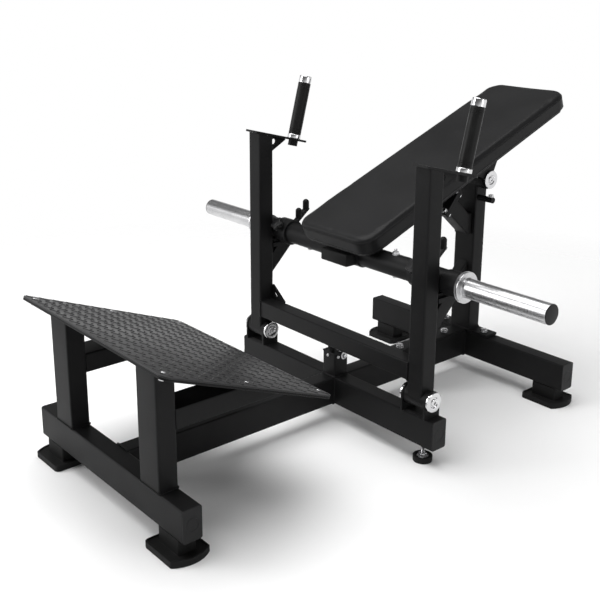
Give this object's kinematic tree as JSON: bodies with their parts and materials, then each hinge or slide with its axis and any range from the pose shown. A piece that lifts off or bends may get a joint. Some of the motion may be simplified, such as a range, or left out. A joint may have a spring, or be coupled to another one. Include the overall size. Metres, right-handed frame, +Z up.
{
  "type": "plate-loaded bridge bench",
  "caption": "Plate-loaded bridge bench: foot deck, swing frame with upright handles and weight bar, and a long tilting back pad on a rear column.",
  "frame": {"origin": "on the floor under the middle of the bench's outline", "axes": "+Y from the foot deck to the raised end of the pad, +Z up, +X to the left of a user lying on the pad"},
  "size_m": [1.314, 1.592, 0.9243],
  "materials": {
    "frame": "fine textured black powder coat",
    "plastic": "moulded black",
    "rubber": "matt black",
    "tread": "raised tread pattern, dark grey",
    "chrome": "bright plated steel",
    "bronze": "plain bearing bronze",
    "upholstery": "fine grained black upholstery",
    "plywood": "black-stained plywood"
  },
  "bodies": {
    "base": {"front_cross_tube": "frame", "middle_cross_tube": "frame", "rear_cross_tube": "frame", "front_spine_tube": "frame", "rear_spine_tube": "frame", "foot_plate": "frame", "foot_tread": "tread", "stop_post": "frame", "stop_bumper": "rubber", "column_tube": "frame", "column_base": "frame", "column_bolt_front": "chrome", "column_bolt_middle": "chrome", "column_bolt_left": "chrome", "column_bolt_right": "chrome", "pad_bush": "bronze", "front_tube_plug_left": "plastic", "middle_tube_plug_left": "plastic", "rear_tube_plug_left": "plastic", "front_foot_left": "rubber", "rear_foot_left": "rubber", "foot_support_left": "frame", "bearing_stand_left": "frame", "swing_shaft_left": "chrome", "front_tube_plug_right": "plastic", "middle_tube_plug_right": "plastic", "rear_tube_plug_right": "plastic", "front_foot_right": "rubber", "rear_foot_right": "rubber", "foot_support_right": "frame", "bearing_stand_right": "frame", "swing_shaft_right": "chrome"},
    "swing_frame": {"swing_cross_tube": "frame", "crossbar": "frame", "upright_left": "frame", "swing_bush_left": "bronze", "handle_bracket_left": "frame", "handle_rod_left": "chrome", "handle_grip_left": "rubber", "bar_arm_left": "frame", "weight_sleeve_left": "chrome", "upright_right": "frame", "swing_bush_right": "bronze", "handle_bracket_right": "frame", "handle_rod_right": "chrome", "handle_grip_right": "rubber", "bar_arm_right": "frame", "weight_sleeve_right": "chrome"},
    "pad": {"pad_cushion": "upholstery", "pad_board": "plywood", "pad_bracket": "frame", "pad_stop_strut": "frame", "pad_stop_bumper": "rubber", "pad_shaft": "chrome"},
    "belt_collar_left_body": {"belt_collar_left": "frame"},
    "clamp_knob_left_body": {"clamp_knob_left": "plastic"},
    "levelling_foot_left_body": {"levelling_foot_left": "rubber"},
    "belt_collar_right_body": {"belt_collar_right": "frame"},
    "clamp_knob_right_body": {"clamp_knob_right": "plastic"},
    "levelling_foot_right_body": {"levelling_foot_right": "rubber"}
  },
  "joints": [
    {"name": "swing_frame_pivot", "type": "hinge", "parent": "base", "child": "swing_frame", "pos_m": [0, -0.035, 0.175], "axis": [-1, 0, 0], "range_deg": [0, 30]},
    {"name": "pad_pivot", "type": "hinge", "parent": "base", "child": "pad", "pos_m": [0, 0.528, 0.621], "axis": [-1, 0, 0], "range_deg": [0, 25]},
    {"name": "belt_collar_left_slide", "type": "slide", "parent": "swing_frame", "child": "belt_collar_left_body", "axis": [-1, 0, 0], "range_m": [0, 0.06]},
    {"name": "clamp_knob_left_turn", "type": "hinge", "parent": "belt_collar_left_body", "child": "clamp_knob_left_body", "pos_m": [0.27, 0.0215, 0.478], "axis": [0, -0.8192, 0.5736], "continuous": true},
    {"name": "levelling_foot_left_screw", "type": "slide", "parent": "base", "child": "levelling_foot_left_body", "axis": [0, 0, 1], "range_m": [-0.01, 0.01]},
    {"name": "belt_collar_right_slide", "type": "slide", "parent": "swing_frame", "child": "belt_collar_right_body", "axis": [1, 0, 0], "range_m": [0, 0.06]},
    {"name": "clamp_knob_right_turn", "type": "hinge", "parent": "belt_collar_right_body", "child": "clamp_knob_right_body", "pos_m": [-0.27, 0.0215, 0.478], "axis": [0, -0.8192, 0.5736], "continuous": true},
    {"name": "levelling_foot_right_screw", "type": "slide", "parent": "base", "child": "levelling_foot_right_body", "axis": [0, 0, 1], "range_m": [-0.01, 0.01]}
  ]
}
